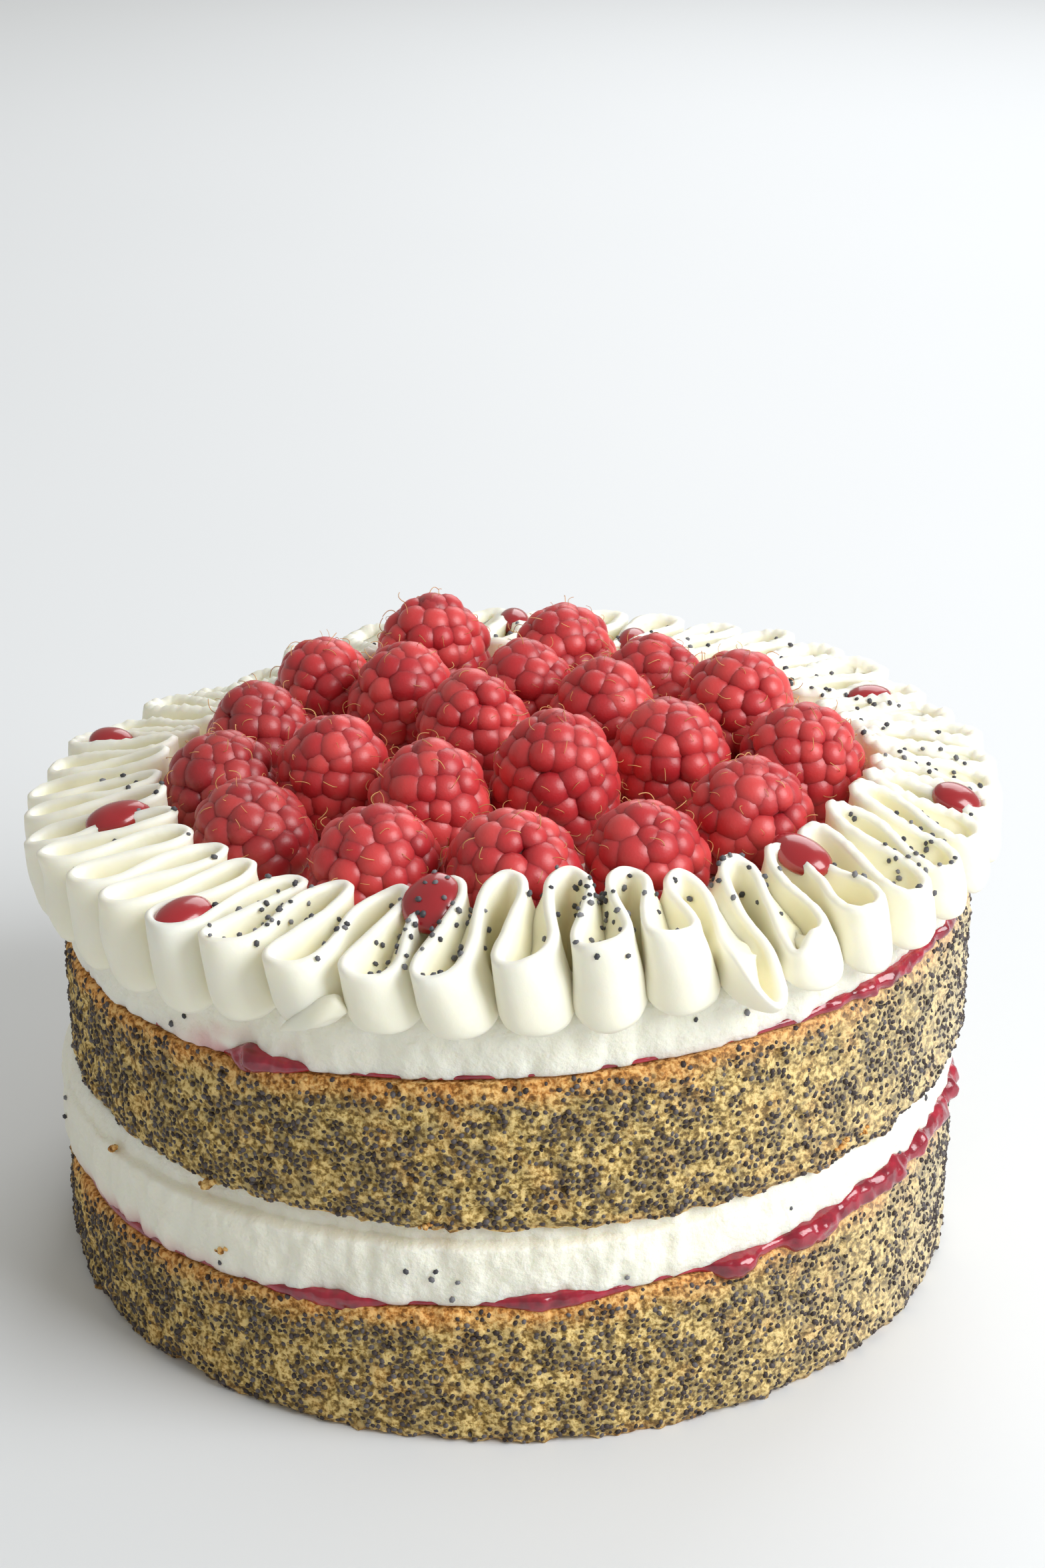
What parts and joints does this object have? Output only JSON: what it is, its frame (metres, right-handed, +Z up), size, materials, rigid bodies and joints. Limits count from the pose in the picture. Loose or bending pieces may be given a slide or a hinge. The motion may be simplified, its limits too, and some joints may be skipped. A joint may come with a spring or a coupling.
{
  "type": "layer cake",
  "caption": "Round poppy seed layer cake with jam and whipped cream between the layers, a pleated cream border, and raspberries standing on top.",
  "frame": {"origin": "centre of the cake's footprint on the surface it rests on", "axes": "+Z up, -Y towards the front, where the jam runs over at the right, and +X towards the right side"},
  "size_m": [0.1691, 0.1694, 0.104],
  "materials": {
    "poppy_seed_sponge": "matte open crumb full of dark seeds",
    "raspberry_jam": "wet gloss",
    "whipped_cream": "soft matte, roughly spread",
    "piped_cream": "smooth satin",
    "raspberry": "velvety with soft highlights"
  },
  "bodies": {
    "root": {"lower_sponge": "poppy_seed_sponge", "lower_jam": "raspberry_jam", "lower_cream": "whipped_cream", "upper_sponge": "poppy_seed_sponge", "upper_jam": "raspberry_jam", "upper_cream": "whipped_cream", "piped_border": "piped_cream", "raspberry_01": "raspberry", "raspberry_02": "raspberry", "raspberry_03": "raspberry", "raspberry_04": "raspberry", "raspberry_05": "raspberry", "raspberry_06": "raspberry", "raspberry_07": "raspberry", "raspberry_08": "raspberry", "raspberry_09": "raspberry", "raspberry_10": "raspberry", "raspberry_11": "raspberry", "raspberry_12": "raspberry", "raspberry_13": "raspberry", "raspberry_14": "raspberry", "raspberry_15": "raspberry", "raspberry_16": "raspberry", "raspberry_17": "raspberry", "raspberry_18": "raspberry", "raspberry_19": "raspberry", "raspberry_20": "raspberry", "raspberry_21": "raspberry"}
  },
  "joints": []
}
